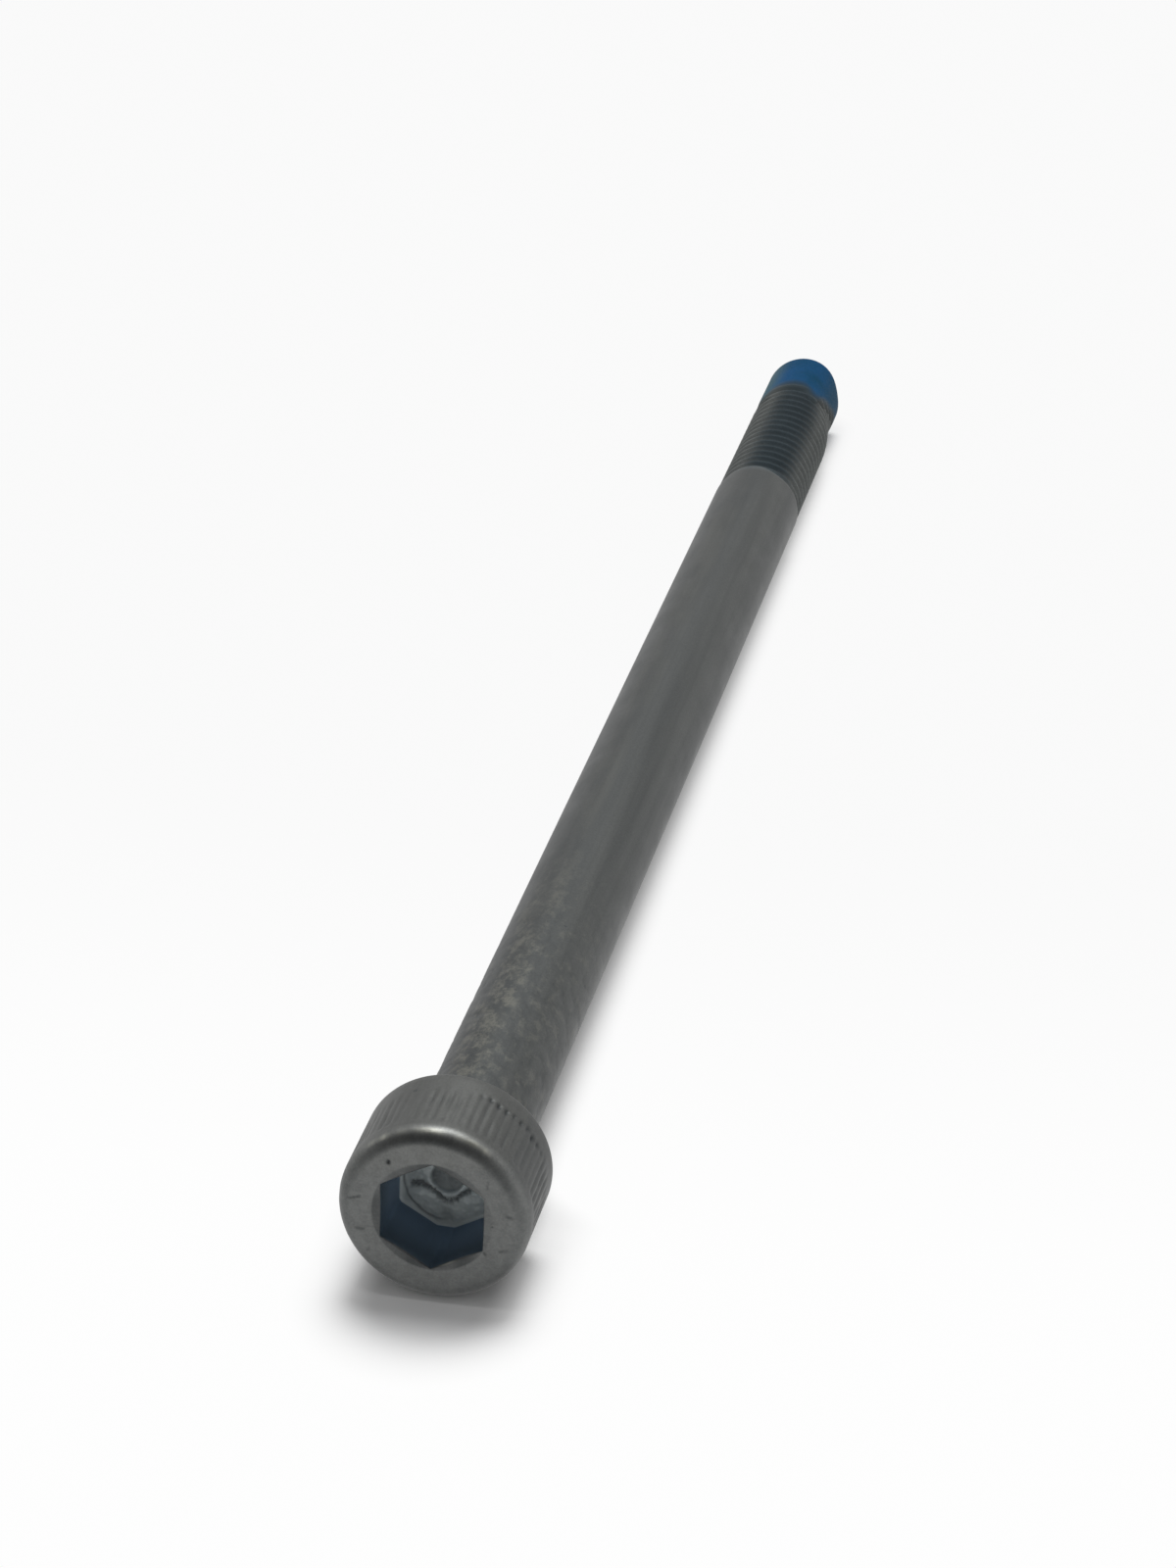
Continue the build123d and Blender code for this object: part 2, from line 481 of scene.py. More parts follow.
# Heights of the rings along the head's side, close together where the grooves end
SIDE_STATIONS = [-5.02, -4.93, -4.87, -4.8, -4.7, *np.arange(-4.5, -1.8, 0.24)]
SIDE_STATIONS += [-1.74, -1.66, -1.6, -1.54, -1.48, -1.42, -1.36, -1.3, -1.22, -1.1]
SIDE_STATIONS += [-0.7, -SEAT_CHAMFER - 0.06]


def knurl(turn, z):
    """Depth of the pressed grooves, uneven from wear, and painted shade that darkens the grooves and
    their end pits.

    On the right the grooves end sharply, each in a small pit of its own."""
    tooth = (np.degrees(turn) + 90) / 360 * KNURL_TEETH
    number = np.round(tooth) % KNURL_TEETH
    across = np.abs(tooth - np.round(tooth))
    pressed = 0.55 + 0.6 * grain(number * 0.77, 0.5, 0.0, 1.0)
    pressed = pressed + 0.5 * grain(number * 0.9, z * 0.9, 7.0, 1.0)
    pressed = np.clip(pressed, 0.25, 0.9)
    side = angle_apart(turn, 0)
    on_right = smooth(12, 24, side) * (1 - smooth(66, 80, side))
    end = KNURL_TO + 0.3 * grain(number * 0.8, 3.5, 0.0, 1.0)
    fade = 0.12 + 0.9 * (1 - on_right)
    inside = smooth(KNURL_FROM - 0.1, KNURL_FROM + 0.3, z) * (1 - smooth(end - fade, end + 0.06, z))
    groove = np.clip(1 - across / 0.42, 0, 1)
    deep = 0.7 + 0.6 * grain(number * 0.6, 8.5, 0.0, 1.0)
    end_pits = deep * hump(z - end + 0.14, 0.24) * hump(across, 0.34) * on_right
    depth = GROOVE_DEPTH * (0.62 * groove * pressed * inside + 0.5 * end_pits)
    # Painted shade in the grooves and, darker still, in the pits at their ends
    dirt = 0.34 * groove * pressed * inside + 0.85 * end_pits * (0.6 + 0.4 * pressed)
    return depth, np.clip(dirt, 0, 1)


def add_face(skin, mouth_ring, mouth_turn, turn):
    """The flat face with its dents, out to where the rim's rounding starts."""
    rim_start = HEAD_R - RIM_RADIUS
    last = None
    for radius in np.linspace(COUNTERSINK_R + 0.07, rim_start, 17):
        x, y = radius * np.cos(turn), radius * np.sin(turn)
        depth, dirt = face_marks(x, y)
        wave = 0.006 * grain(x, y, 0.0, 1.2)
        ring = skin.ring(radius, turn, FACE_Z + depth + wave, dirt=dirt)
        if last is None:
            skin.zip_up(mouth_ring, mouth_turn, ring, turn)
        else:
            skin.strip(last, ring)
        last = ring
    return last


def add_rim(skin, face_ring, turn):
    """The rounded rim, with a painted highlight where it glints and a painted dark band above the
    face.
    """
    last = face_ring
    for angle in np.linspace(7.5, 90, 12):
        swing = math.radians(angle)
        radius = HEAD_R - RIM_RADIUS * (1 - math.sin(swing))
        back = RIM_RADIUS * (1 - math.cos(swing))
        x, y = radius * np.cos(turn), radius * np.sin(turn)
        marks, dirt = face_marks(x, y)
        marks = marks * math.cos(swing)
        dent = 0.012 * grain(x, y, FACE_Z + back, 1.1) * math.sin(swing)
        shine = rim_shine(turn, angle, x, y)
        # Painted dark reflection: a dark band across the upper rim and a fainter one all round it,
        # standing in for the dark surroundings it mirrors
        painted_dark_band = 0.45 * hump(angle - 18, 12) * hump(angle_apart(turn, 85), 50)
        dirt = np.maximum(dirt, painted_dark_band + 0.2 * hump(angle - 32, 20))
        z = FACE_Z + back + marks
        ring = skin.ring(radius - np.abs(dent), turn, z, dirt=dirt, shine=shine)
        skin.strip(last, ring)
        last = ring
    return last


def add_side(skin, rim_ring, turn):
    """The knurled side and the chamfer round the seat."""
    last = rim_ring
    for z in SIDE_STATIONS:
        depth, dirt = knurl(turn, z)
        wave = 0.006 * grain(np.cos(turn) * HEAD_R, np.sin(turn) * HEAD_R, z, 0.7)
        ring = skin.ring(HEAD_R - depth - np.abs(wave), turn, z, dirt=dirt)
        skin.strip(last, ring)
        last = ring
    # Painted shade along the seat's chamfer
    for radius, z in [(HEAD_R - 0.03, -0.22), (HEAD_R - 0.22, -0.03), (HEAD_R - 0.3, 0.0)]:
        ring = skin.ring(radius, turn, z, dirt=0.1)
        skin.strip(last, ring)
        last = ring
    return last


# ---------------------------------------------------------------- shank and thread

# Where the thread starts a little later, and the side of the tip that is worn
LATE_START = 0.5  # in millimetres
LATE_SIDE = (97, 28)  # angle and width in degrees
WORN_SIDE = (10, 48)


def add_shank(skin, seat_ring):
    """Seat, neck fillet and plain shank, a little dented near the head."""
    head_turn, turn = turns(HEAD_COLUMNS), turns(SHANK_COLUMNS)
    # Painted shade where head and shank meet: the seat and the neck's fillet are darkened
    last = skin.ring(SHANK_R + NECK_RADIUS + 0.1, turn, 0.0, dirt=0.25)
    skin.zip_up(seat_ring, head_turn, last, turn)
    for angle in np.linspace(0, 90, 7):
        swing = math.radians(angle)
        radius = SHANK_R + NECK_RADIUS * (1 - math.sin(swing))
        z = NECK_RADIUS * (1 - math.cos(swing))
        ring = skin.ring(radius, turn, z, dirt=0.3 * math.cos(swing))
        skin.strip(last, ring)
        last = ring
    near = list(np.arange(0.7, 30.0, 0.26))
    far = list(np.arange(30.5, HELIX_FROM - 0.6, 1.3))
    x, y = SHANK_R * np.cos(turn), SHANK_R * np.sin(turn)
    for z in near + far:
        fade = 1 - smooth(12, 30, z)
        dents = np.maximum(grain(x, y, z, 0.9) - 0.15, 0) * 0.05 * fade
        creases = np.maximum(0.12 - np.abs(grain(x, y, z * 0.8, 0.8, 9.0)), 0) * 0.16 * fade
        # Painted shade: the dents and creases are darkened by their depth
        dirt = np.clip(dents * 3 + creases * 14, 0, 1)
        ring = skin.ring(SHANK_R - dents - creases, turn, z, dirt=dirt)
        skin.strip(last, ring)
        last = ring
    return last


def thread_share(place):
    """Share of the thread's depth at a place along its pitch. A crest is at 0."""
    return np.abs(np.sin(np.pi * place)) ** 1.4


def tip_wear(turn, z):
    """How much thinner the thread and its coat are on the right side of the tip."""
    angle, width = WORN_SIDE
    return TIP_WEAR * hump(angle_apart(turn, angle), width) * smooth(99.5, 106.5, z)


def thread_radius(turn, z, share):
    """Radius at a place on the thread where it has that share of its depth."""
    angle, width = LATE_SIDE
    start = THREAD_START + LATE_START * hump(angle_apart(turn, angle), width)
    run_in = smooth(start - 0.1, start + 0.8, z)
    step = (SHANK_R - THREAD_R) * smooth(start, start + 0.3, z)
    coat_start = GRIP_LENGTH - COAT_LENGTH
    under_coat = UNDER_COAT_DEPTH * smooth(coat_start - 1.5, coat_start, z)
    tip = TIP_TAPER * smooth(GRIP_LENGTH - 2.2, GRIP_LENGTH - 0.4, z)
    depth = THREAD_DEPTH * run_in * share * (1 - tip)
    return SHANK_R - step - under_coat - tip - tip_wear(turn, z) - depth


def helix_grid(skin):
    """Rows of points that follow a right-hand helix: grid[row][column]."""
    turn = turns(SHANK_COLUMNS)
    lead = THREAD_PITCH * (1 - turn / TAU)
    grid = []
    for row in range(HELIX_PITCHES * ROWS_PER_PITCH):
        place = row / ROWS_PER_PITCH
        share = thread_share(place)
        z = HELIX_FROM + place * THREAD_PITCH + lead
        grid.append(skin.ring(thread_radius(turn, z, share), turn, z))
    return grid


def weave_helix(skin, grid, before, after):
    """Faces of a helix grid between a plain ring before it and one after it.

    A helix's last column meets its first one a pitch lower, so each end of the seam
    is closed by one face that takes up the pitch."""
    pitch = ROWS_PER_PITCH
    skin.strip(before, grid[0], closed=False)
    for low, high in zip(grid, grid[1:]):
        skin.strip(low, high, closed=False)
    skin.strip(grid[-1], after, closed=False)
    for row in range(pitch, len(grid) - 1):
        left, right = grid[row][-1], grid[row - pitch][0]
        skin.faces.append((left, grid[row + 1][-1], grid[row - pitch + 1][0], right))
    start_seam = [row[-1] for row in grid[: pitch + 1]]
    skin.faces.append((before[-1], *start_seam, grid[0][0], before[0]))
    end_seam = [row[0] for row in grid[-1 - pitch :]]
    skin.faces.append((grid[-1][-1], after[-1], after[0], *reversed(end_seam)))


def add_thread(skin, shank_ring):
    """The rolled thread, and the steel's end under the coat."""
    turn = turns(SHANK_COLUMNS)
    before = skin.ring(SHANK_R, turn, HELIX_FROM - 0.2)
    skin.strip(shank_ring, before)
    grid = helix_grid(skin)
    after = skin.ring(thread_radius(turn, STEEL_END - 0.5, 0.0), turn, STEEL_END - 0.5)
    weave_helix(skin, grid, before, after)
    end = skin.ring(thread_radius(turn, STEEL_END, 0.0) - 0.15, turn, STEEL_END)
    skin.strip(after, end)
    skin.cap(end, skin.point(STEEL_END))


def make_screw(placed, material):
    """The whole steel skin, from the middle of the socket's floor to the tip."""
    skin = Skin()
    mouth_ring, mouth_turn = add_socket(skin)
    turn = turns(HEAD_COLUMNS)
    face_ring = add_face(skin, mouth_ring, mouth_turn, turn)
    rim_ring = add_rim(skin, face_ring, turn)
    seat_ring = add_side(skin, rim_ring, turn)
    shank_ring = add_shank(skin, seat_ring)
    add_thread(skin, shank_ring)
    made = skin.piece("steel_screw", placed, material)
    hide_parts("screw")


# ---------------------------------------------------------------- thread-locking coat

# Where the coat ran further down the thread, or stops short: angle, width, length
COAT_RUNS = [(56, 15, 1.0), (140, 22, 0.9), (-28, 46, -3.0)]
INNER_GAP = 0.002  # between the steel and the coat's inner face
THINNEST = 0.004  # the film's thickness at its edge
COAT_RINGS = 58


def coat_edge(turn):
    """How far along the screw the coat starts: its edge is uneven."""
    edge = GRIP_LENGTH - COAT_LENGTH
    for angle, width, length in COAT_RUNS:
        edge = edge - length * hump(angle_apart(turn, angle), width)
    return edge - 0.1 * grain(np.cos(turn), np.sin(turn), 0.0, 1.7)


def coat_rings(skin, turn, end_z):
    """The coat's outer and inner rings, from its thin edge to where its end draws in."""
    edge_z = coat_edge(turn)
    inner, outer = [], []
    for share in np.linspace(0, 1, COAT_RINGS):
        z = edge_z + (end_z - edge_z) * share
        reach = z - edge_z
        depth = thread_share((z - HELIX_FROM) / THREAD_PITCH + turn / TAU)
        steel = thread_radius(turn, z, depth)
        film = thread_radius(turn, z, depth * (1 - 0.5 * smooth(0, 0.8, reach))) + THINNEST
        full = COAT_R - tip_wear(turn, z)
        filled = smooth(0.1, 1.5, reach)
        radius = film + (full - film) * filled
        thin = 1 - smooth(0.3, 2.5, reach)
        # Here the first mark holds how thin the film is, not grime or shade
        inner.append(skin.ring(steel + INNER_GAP, turn, z, dirt=thin))
        outer.append(skin.ring(radius, turn, z, dirt=thin))
    return inner, outer


def add_dome(skin, rim_ring, turn, dome_z):
    """The coat's rounded end."""
    last = rim_ring
    full = COAT_R - tip_wear(turn, GRIP_LENGTH)
    for angle in (12, 24, 36, 48, 60, 75, 90):
        swing = math.radians(angle)
        radius = full - DOME_INSET * (1 - math.cos(swing))
        ring = skin.ring(radius, turn, dome_z + DOME_LENGTH * math.sin(swing))
        skin.strip(last, ring)
        last = ring
    for share in (0.8, 0.5, 0.2):
        ring = skin.ring((full - DOME_INSET) * share, turn, GRIP_LENGTH)
        skin.strip(last, ring)
        last = ring
    skin.cap(last, skin.point(GRIP_LENGTH))


def make_coat(placed, material):
    """A film that follows the thread at its edge and fills it further on."""
    turn = turns(SHANK_COLUMNS)
    dome_z = GRIP_LENGTH - DOME_LENGTH
    skin = Skin()
    inner, outer = coat_rings(skin, turn, dome_z)
    for low, high in zip(outer, outer[1:]):
        skin.strip(low, high)
    for low, high in zip(inner, inner[1:]):
        skin.strip(high, low)
    skin.strip(inner[0], outer[0])
    add_dome(skin, outer[-1], turn, dome_z)
    inner_end = skin.ring(thread_radius(turn, STEEL_END, 0.0) - 0.14, turn, STEEL_END + 0.01)
    skin.strip(inner_end, inner[-1])
    skin.fan(skin.point(STEEL_END + 0.01), inner_end)
    made = skin.piece("blue_lock_coat", placed, material)
    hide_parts("thread_lock_coat")


# ---------------------------------------------------------------- materials


class Shader:
    """A small helper that adds nodes to a material or world and links them."""

    def __init__(self, owner):
        owner.use_nodes = True
        self.tree = owner.node_tree
        self.tree.nodes.clear()

    def node(self, kind, inputs=None, **settings):
        made = self.tree.nodes.new(kind)
        for name, value in settings.items():
            setattr(made, name, value)
        for socket, value in (inputs or {}).items():
            self.feed(made.inputs[socket], value)
        return made

    def feed(self, socket, value):
        if isinstance(value, bpy.types.NodeSocket):
            self.tree.links.new(value, socket)
        else:
            socket.default_value = value

    def math(self, operation, a, b=0.0):
        return self.node("ShaderNodeMath", {0: a, 1: b}, operation=operation).outputs[0]

    def product(self, first, *others):
        for other in others:
            first = self.math("MULTIPLY", first, other)
        return first

    def total(self, first, *others):
        for other in others:
            first = self.math("ADD", first, other)
        return first

    def around_one(self, amount, spread):
        """A factor round 1 that follows an amount from 0 to 1."""
        return self.total(self.product(self.math("SUBTRACT", amount, 0.5), spread), 1.0)

    def mix(self, factor, a, b, blend="MIX"):
        """A mix of two colours."""
        made = self.node("ShaderNodeMix", data_type="RGBA", blend_type=blend)
        self.feed(made.inputs["Factor"], factor)
        self.feed(made.inputs[6], a)
        self.feed(made.inputs[7], b)
        return made.outputs[2]

    def scaled(self, tone, level):
        """A colour multiplied by a number."""
        grey = self.node("ShaderNodeCombineColor", {0: level, 1: level, 2: level})
        return self.mix(1.0, tone, grey.outputs[0], "MULTIPLY")

    def between(self, factor, a, b):
        """A number from a to b."""
        made = self.node("ShaderNodeMix", data_type="FLOAT")
        self.feed(made.inputs["Factor"], factor)
        self.feed(made.inputs[2], a)
        self.feed(made.inputs[3], b)
        return made.outputs[0]

    def step(self, value, low, high, to_low=0.0, to_high=1.0):
        """A soft step of value between low and high."""
        ends = {"From Min": low, "From Max": high, "To Min": to_low, "To Max": to_high}
        made = self.node(
            "ShaderNodeMapRange", {"Value": value, **ends}, interpolation_type="SMOOTHSTEP"
        )
        return made.outputs["Result"]

    def noise(self, place, stretch, detail=4.0, roughness=0.55):
        """Noise in the screw's own frame. Stretch gives its features per millimetre."""
        stretched = self.node("ShaderNodeMapping", {"Vector": place, "Scale": stretch})
        made = self.node(
            "ShaderNodeTexNoise",
            {"Vector": stretched.outputs[0], "Scale": 1.0, "Detail": detail, "Roughness": roughness},
        )
        return made.outputs["Fac"]

    def attribute(self, name, output="Fac"):
        return self.node("ShaderNodeAttribute", attribute_name=name).outputs[output]

    def dot(self, a, b):
        made = self.node("ShaderNodeVectorMath", {0: a, 1: b}, operation="DOT_PRODUCT")
        return made.outputs["Value"]

    def facing(self, place, angle):
        """1 on the line of the shank that faces the angle, and -1 on the far one."""
        swing = math.radians(angle)
        towards = (math.cos(swing) / SHANK_R, -math.sin(swing) / SHANK_R, 0.0)
        return self.dot(place, towards)

    def surface(self, shader):
        """Makes a shader node the material's surface."""
        self.node("ShaderNodeOutputMaterial", {"Surface": shader.outputs[0]})

    def shown(self):
        """1 for what is seen straight, in a reflection or through glass."""
        path = self.node("ShaderNodeLightPath").outputs
        bounced = self.math("MAXIMUM", path["Is Glossy Ray"], path["Is Transmission Ray"])
        return self.math("MAXIMUM", path["Is Camera Ray"], bounced)

    def mirrored(self):
        """1 for what is seen in a reflection."""
        return self.node("ShaderNodeLightPath").outputs["Is Glossy Ray"]

    def grey(self, value):
        return (value, value, value, 1.0)


class SteelFields:
    """Noise patterns and marks that the parts of the steel's look share."""

    def __init__(self, s):
        place = s.attribute("place", "Vector")
        self.place = place
        self.along = s.node("ShaderNodeSeparateXYZ", {"Vector": place}).outputs["Z"]
        self.hair = s.noise(place, (6.0, 6.0, 0.16), detail=3.0)
        self.mottle = s.noise(place, (0.55, 0.55, 0.35), detail=5.0, roughness=0.6)
        self.speckle = s.noise(place, (9.0, 9.0, 7.0), detail=3.0, roughness=0.6)
        self.crinkle = s.noise(place, (1.5, 1.5, 1.0), detail=7.0, roughness=0.7)
        self.on_thread = s.step(self.along, THREAD_START - 0.2, THREAD_START + 0.9)
        self.dirt = s.attribute("dirt")
        self.shine = s.attribute("shine")
        self.socket = s.attribute("socket")
        self.walls = s.step(self.socket, 0.02, 0.3)


def shank_tone(s, f):
    """Drawn streaks and mottling, with scuffs and a pale bloom near the head, a painted highlight
    along the top, painted shade on the left side and a painted highlight by the seat.
    """
    streaks = s.noise(f.place, (0.75, 0.75, 0.028), detail=2.0)
    clouds = s.noise(f.place, (0.3, 0.3, 0.09), detail=3.0)
    near_head = s.step(f.along, 10.0, 34.0, 1.0, 0.0)
    on_top = s.facing(f.place, 104)
    tone = s.mix(s.step(streaks, 0.3, 0.7), STEEL_DARK, STEEL_LIGHT)
    tone = s.mix(s.product(s.step(f.mottle, 0.35, 0.68), 0.35), tone, STEEL_LIGHT)
    # Painted highlight: a lighter streak along the top line
    painted_top_highlight = s.product(s.step(on_top, 0.93, 0.998), s.step(clouds, 0.38, 0.6), 0.3)
    tone = s.mix(painted_top_highlight, tone, STEEL_SCUFF_AND_HIGHLIGHT)
    # Painted shade: the left side is darkened
    painted_left_shade = s.step(s.facing(f.place, 114), 0.6, 0.94, 0.0, 0.3)
    tone = s.mix(painted_left_shade, tone, STEEL_DIRT_AND_SHADE)
    scuffs = s.product(s.step(f.crinkle, 0.50, 0.66), near_head, 0.4)
    tone = s.mix(scuffs, tone, STEEL_SCUFF_AND_HIGHLIGHT)
    patches = s.product(s.step(on_top, 0.88, 0.99), s.step(f.crinkle, 0.42, 0.6), 0.6)
    tone = s.mix(s.product(near_head, patches), tone, STEEL_BLOOM_AND_HIGHLIGHT)
    # Painted highlight: a lighter mark on the top by the seat
    by_seat = s.step(f.along, 3.0, 0.2)
    painted_seat_highlight = s.product(by_seat, s.step(s.facing(f.place, 95), 0.9, 1.0), 0.6)
    return s.mix(painted_seat_highlight, tone, STEEL_BLOOM_AND_HIGHLIGHT)


def head_tone(s, f):
    """A face painted paler than the side as light, and the darker side, both faintly mottled."""
    tone = s.mix(s.step(f.along, -5.6, -5.0), STEEL_FACE_PAINTED_LIGHTER, STEEL_SIDE)
    return s.mix(s.step(f.crinkle, 0.42, 0.62, 0.0, 0.2), tone, STEEL_DIRT_AND_SHADE)


def socket_tone(s, f):
    """Walls painted darkest at the mouth as shade, and the forged floor painted pale to stand in for
    the light it mirrors.
    """
    wall = s.mix(s.step(f.along, FACE_Z, FLOOR_Z - 0.8), SOCKET_LIP_PAINTED_SHADE, SOCKET_WALL)
    return s.mix(s.step(f.socket, 0.6, 0.95), wall, SOCKET_BED_PAINTED_LIGHT)


def steel_pits(s, f):
    """Small round pits, fewer and fainter further from the head."""
    spots = {"Vector": f.place, "Scale": 0.62, "Randomness": 1.0}
    cells = s.node("ShaderNodeTexVoronoi", spots)
    size = s.product(s.step(f.mottle, 0.45, 0.7), 0.12)
    pits = s.math("LESS_THAN", cells.outputs["Distance"], size)
    return s.product(pits, s.step(f.along, 14.0, 45.0, 0.75, 0.1))


def steel_tone(s, f, pits):
    """Colour of the whole steel piece, with the thread's painted reflection (lighter sides and a
    dark middle band), grime and painted shade, and polished places with painted highlights.
    """
    on_head = s.step(f.along, -0.4, 0.6, 0.85, 0.0)
    tone = s.mix(on_head, shank_tone(s, f), head_tone(s, f))
    # Painted reflection: the thread's sides lighter and a dark band along its middle
    tone = s.mix(f.on_thread, tone, THREAD_SIDES_PAINTED_LIGHTER)
    painted_thread_band = s.product(f.on_thread, s.step(s.facing(f.place, 76), 0.66, 0.93, 0.0, 0.9))
    tone = s.mix(painted_thread_band, tone, THREAD_PAINTED_DARK_BAND)
    fine = s.product(s.around_one(f.speckle, 0.45), s.around_one(f.hair, 0.2))
    tone = s.scaled(tone, fine)
    tone = s.mix(s.product(pits, 0.6), tone, STEEL_DIRT_AND_SHADE)
    tone = s.mix(f.walls, tone, socket_tone(s, f))
    # Grime and painted shade from the mark on the skin
    tone = s.mix(s.product(f.dirt, 0.8), tone, STEEL_DIRT_AND_SHADE)
    # Painted highlight: lighter steel where the rim glints and on the burr, with real polish
    # lowering the roughness
    return s.mix(s.product(f.shine, 0.85), tone, STEEL_WORN_HIGHLIGHT)


def steel_roughness(s, f):
    """Rougher on the thread and where grime and painted shade are marked, smoother where it is
    polished by wear.
    """
    rough = s.total(0.38, s.product(f.mottle, 0.2))
    rough = s.total(rough, s.product(f.dirt, 0.14), s.product(f.on_thread, 0.34))
    return s.math("SUBTRACT", rough, s.product(f.shine, 0.22))


def steel_bump(s, f, pits):
    """Fine grain, drawn lines, crinkles near the head, and the pits."""
    near_head = s.product(s.step(f.along, 12.0, 34.0, 1.0, 0.0), s.step(f.along, 0.0, 1.0))
    height = s.total(s.product(f.speckle, 0.35), s.product(f.hair, 0.2))
    height = s.total(height, s.product(f.crinkle, near_head, 1.6))
    height = s.math("SUBTRACT", height, s.product(pits, 0.8))
    fine = {"Strength": 0.35, "Distance": BUMP_DEPTH * MM, "Height": height}
    return s.node("ShaderNodeBump", fine).outputs[0]


def steel_material():
    """Dull rolled steel: drawn streaks, mottling, small pits, and hollows darkened by grime and
    painted shade.
    """
    material = bpy.data.materials.new("dull_steel")
    s = Shader(material)
    f = SteelFields(s)
    pits = steel_pits(s, f)
    looks = {
        "Base Color": steel_tone(s, f, pits),
        "Metallic": s.math("SUBTRACT", 1.0, s.product(f.walls, 0.85)),
        "Roughness": steel_roughness(s, f),
        "Normal": steel_bump(s, f, pits),
    }
    s.surface(s.node("ShaderNodeBsdfPrincipled", looks))
    return material


def coat_material():
    """Dried blue thread-locking film: steel-dark at its thin edge with the thread's painted dark
    band and lighter sides, painted lighter on top, and with a painted teal reflection on its left
    side.
    """
    material = bpy.data.materials.new("dried_blue_coat")
    s = Shader(material)
    place = s.attribute("place", "Vector")
    clouds = s.noise(place, (0.45, 0.45, 0.5), detail=3.0)
    grit = s.noise(place, (7.0, 7.0, 7.0), detail=4.0)
    # Painted light: lighter blue on the top, broken up by clouds
    left = s.step(s.facing(place, 95), 0.2, 0.95)
    tone = s.mix(s.product(s.step(clouds, 0.2, 0.6), left), COAT_DEEP, COAT_PAINTED_LIGHTER)
    tone = s.mix(s.product(s.step(grit, 0.45, 0.75), 0.2), tone, COAT_DEEP)
    # Painted reflection: a teal sheen on the left side
    tone = s.mix(s.step(s.facing(place, 160), 0.6, 1.0, 0.0, 0.85), tone, COAT_PAINTED_SIDE_REFLECTION)
    # The thin film shows the steel, with the thread's painted dark band and lighter sides
    film = s.mix(s.step(s.facing(place, 76), 0.66, 0.93), COAT_THIN_SIDES_PAINTED_LIGHTER, COAT_THIN_PAINTED_DARK_BAND)
    tone = s.mix(s.step(s.attribute("dirt"), 0.1, 1.0), tone, film)
    fine = {"Strength": 0.25, "Distance": BUMP_DEPTH * MM, "Height": grit}
    looks = {
        "Base Color": tone,
        "Roughness": s.total(0.45, s.product(grit, 0.2)),
        "Specular IOR Level": 0.03,
        "Normal": s.node("ShaderNodeBump", fine).outputs[0],
    }
    s.surface(s.node("ShaderNodeBsdfPrincipled", looks))
    return material


def floor_material(half_length):
    """Pale and shadowed round the screw, and plain white away from it."""
    material = bpy.data.materials.new("pale_floor")
    s = Shader(material)
    spot = s.node("ShaderNodeNewGeometry").outputs["Position"]
    parts = s.node("ShaderNodeSeparateXYZ", {"Vector": spot}).outputs
    aside = s.math("SUBTRACT", parts["X"], SHADOW_MIDDLE_X * MM)
    past_ends = s.math("SUBTRACT", s.math("ABSOLUTE", parts["Y"]), half_length)
    beyond = s.math("MAXIMUM", past_ends, 0.0)
    apart = s.math("SQRT", s.total(s.product(aside, aside), s.product(beyond, beyond)))
    head_from, head_to = (end * MM - half_length for end in HEAD_SHADOW_ENDS)
    by_head = s.step(parts["Y"], head_from, head_to, 1.0, 0.0)
    shadow_ends = s.between(by_head, SHANK_SHADOW[0] * MM, HEAD_SHADOW[0] * MM)
    white_from = s.between(by_head, SHANK_SHADOW[1] * MM, HEAD_SHADOW[1] * MM)
    white = s.step(apart, shadow_ends, white_from)
    white = s.math("MAXIMUM", white, s.product(s.mirrored(), MIRRORED_WHITE))
    white = s.product(white, s.shown())
    matt = {"Base Color": s.grey(FLOOR_TONE), "Roughness": 1.0, "Specular IOR Level": 0.0}
    lit = s.node("ShaderNodeBsdfPrincipled", matt)
    level = s.step(parts["Y"], -half_length, 0.0, FLOOR_NEAR, FLOOR_FAR)
    plain = s.node("ShaderNodeEmission", {"Color": s.grey(1.0), "Strength": level})
    s.surface(s.node("ShaderNodeMixShader", {0: white, 1: lit.outputs[0], 2: plain.outputs[0]}))
    return material


# ---------------------------------------------------------------- stage, light and camera


def screw_frame():
    """The screw's own frame in the row: origin at the seat, +Z to the tip, +Y down."""
    low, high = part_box("screw")
    coat_low, coat_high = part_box("thread_lock_coat")
    head_r = (high.x - low.x) / 2
    tip_r = (coat_high.x - coat_low.x) / 2
    touch = (GRIP_LENGTH - TIP_ROUND + SEAT_CHAMFER) * MM
    tilt = math.atan2(head_r - tip_r, touch)
    across = Vector((1, 0, 0))
    down = Vector((0, -math.sin(tilt), -math.cos(tilt)))
    axis = Vector((0, math.cos(tilt), -math.sin(tilt)))
    seat = Vector((0, 0, head_r * math.cos(tilt) - SEAT_CHAMFER * MM * math.sin(tilt)))
    end_y = GRIP_LENGTH * MM * math.cos(tilt) + (tip_r - TIP_ROUND * MM) * math.sin(tilt)
    seat.x = (low.x + high.x) / 2
    seat.y = coat_high.y - end_y
    matrix = Matrix((across, down, axis)).transposed().to_4x4()
    matrix.translation = seat
    return matrix


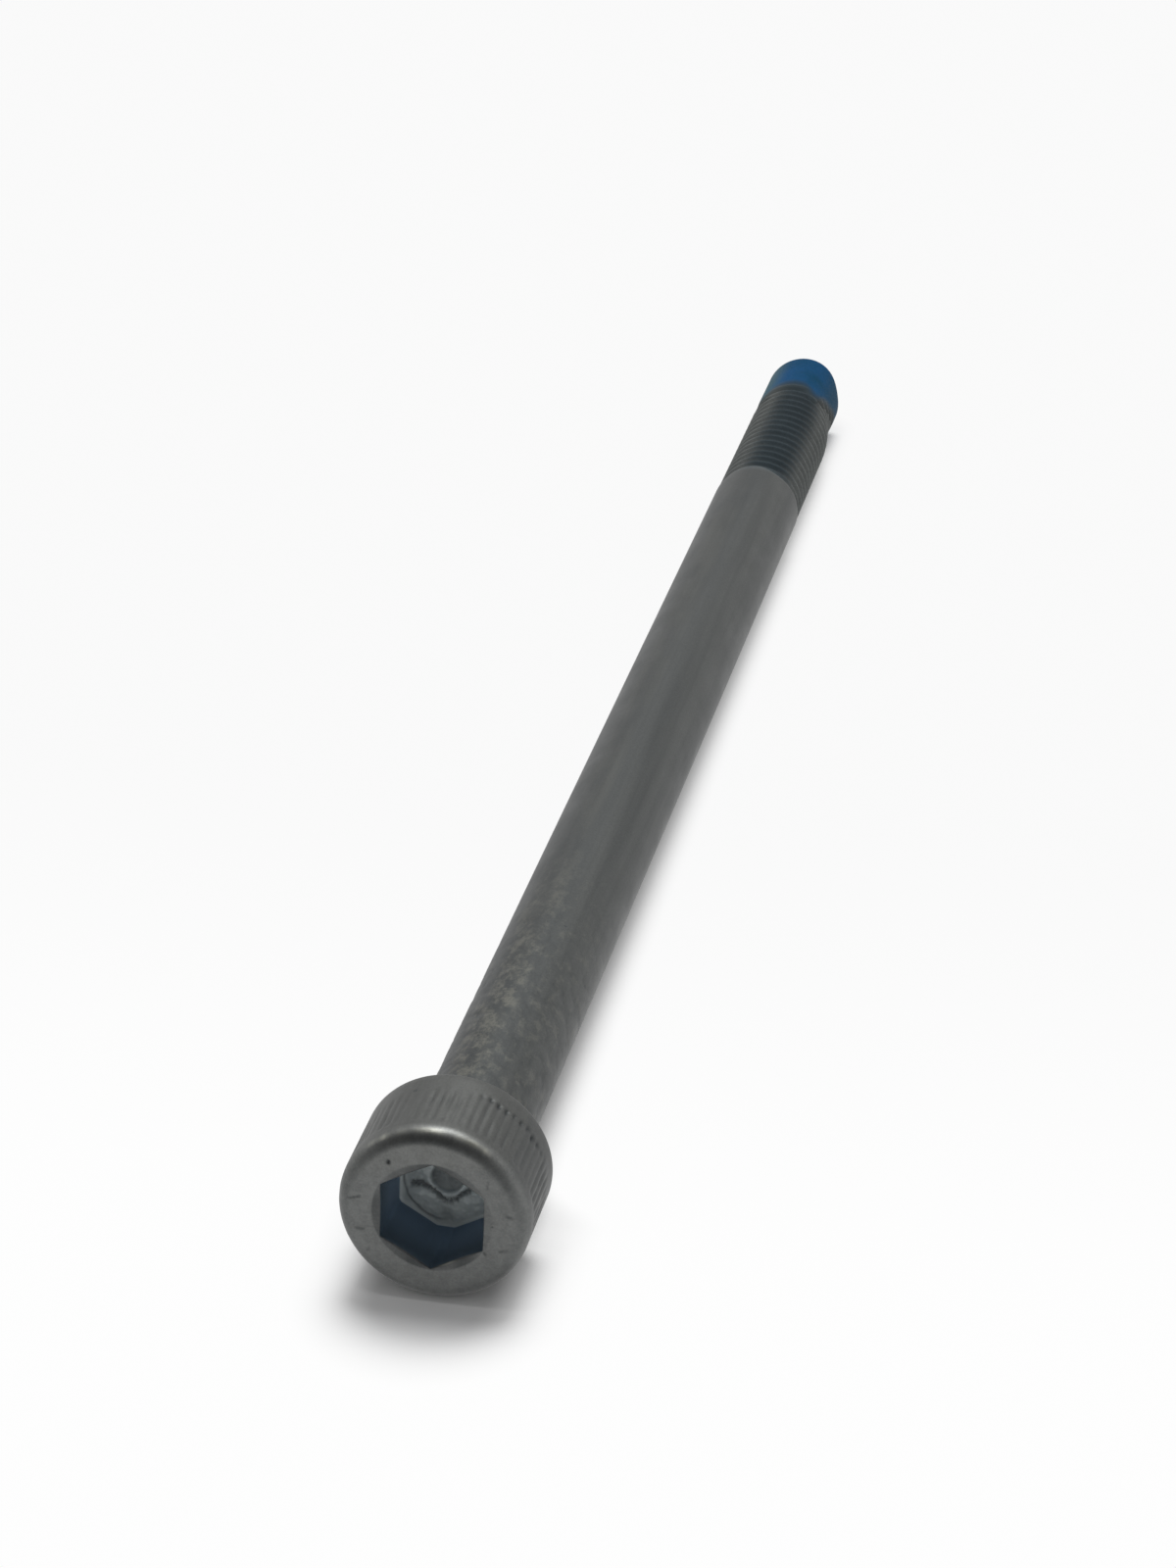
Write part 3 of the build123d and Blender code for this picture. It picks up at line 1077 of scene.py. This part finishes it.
def add_floor():
    """The pale floor, which is stage and not part of the object."""
    half = FLOOR_HALF * MM
    corners = [(-half, -half, 0), (half, -half, 0), (half, half, 0), (-half, half, 0)]
    data = bpy.data.meshes.new("floor")
    data.from_pydata(corners, [], [(0, 1, 2, 3)])
    low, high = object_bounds()
    data.materials.append(floor_material((high[1] - low[1]) / 2))
    floor = bpy.data.objects.new("floor", data)
    bpy.context.scene.collection.objects.link(floor)


def add_lamp(name, place, diameter, power):
    """A soft round lamp that faces the screw."""
    data = bpy.data.lights.new(name, "AREA")
    data.shape = "DISK"
    data.size = diameter
    data.energy = power
    lamp = bpy.data.objects.new(name, data)
    lamp.location = place
    lamp.rotation_euler = Vector(place).to_track_quat("Z", "Y").to_euler()
    bpy.context.scene.collection.objects.link(lamp)


def add_world():
    """Even pale surroundings, whose reflection is dark above the side the head faces."""
    world = bpy.data.worlds.new("studio")
    bpy.context.scene.world = world
    s = Shader(world)
    facing = s.node("ShaderNodeTexCoord").outputs["Generated"]
    dim = s.step(s.dot(facing, DARK_TOWARDS), *DARK_SPREAD, 1.0, DARK_LEVEL)
    path = s.node("ShaderNodeLightPath").outputs
    level = s.between(path["Is Glossy Ray"], FILL_LEVEL, s.product(dim, MIRRORED_LEVEL))
    seen = s.math("MAXIMUM", path["Is Camera Ray"], path["Is Transmission Ray"])
    level = s.between(seen, level, 1.0)
    background = s.node("ShaderNodeBackground", {"Color": s.grey(1.0), "Strength": level})
    s.node("ShaderNodeOutputWorld", {"Surface": background.outputs[0]})


def add_camera():
    """The view from beyond the head, a little to the right of the axis, looking down."""
    data = bpy.data.cameras.new("view")
    data.sensor_width = SENSOR_SIDE
    data.lens = CAMERA_LENS
    data.clip_start = 0.01
    data.clip_end = 20.0
    camera = bpy.data.objects.new("view", data)
    backwards = Vector(CAMERA_PLACE) - Vector(CAMERA_TARGET)
    camera.rotation_euler = backwards.to_track_quat("Z", "Y").to_euler()
    camera.location = Vector(CAMERA_PLACE) * MM
    bpy.context.scene.collection.objects.link(camera)
    bpy.context.scene.camera = camera


# ---------------------------------------------------------------- the whole scene


bpy.context.scene.view_settings.view_transform = "Standard"
lying = screw_frame()
make_screw(lying, steel_material())
make_coat(lying, coat_material())
add_floor()
add_lamp("main_lamp", *MAIN_LAMP)
add_lamp("glint_lamp", *GLINT_LAMP)
add_world()
add_camera()
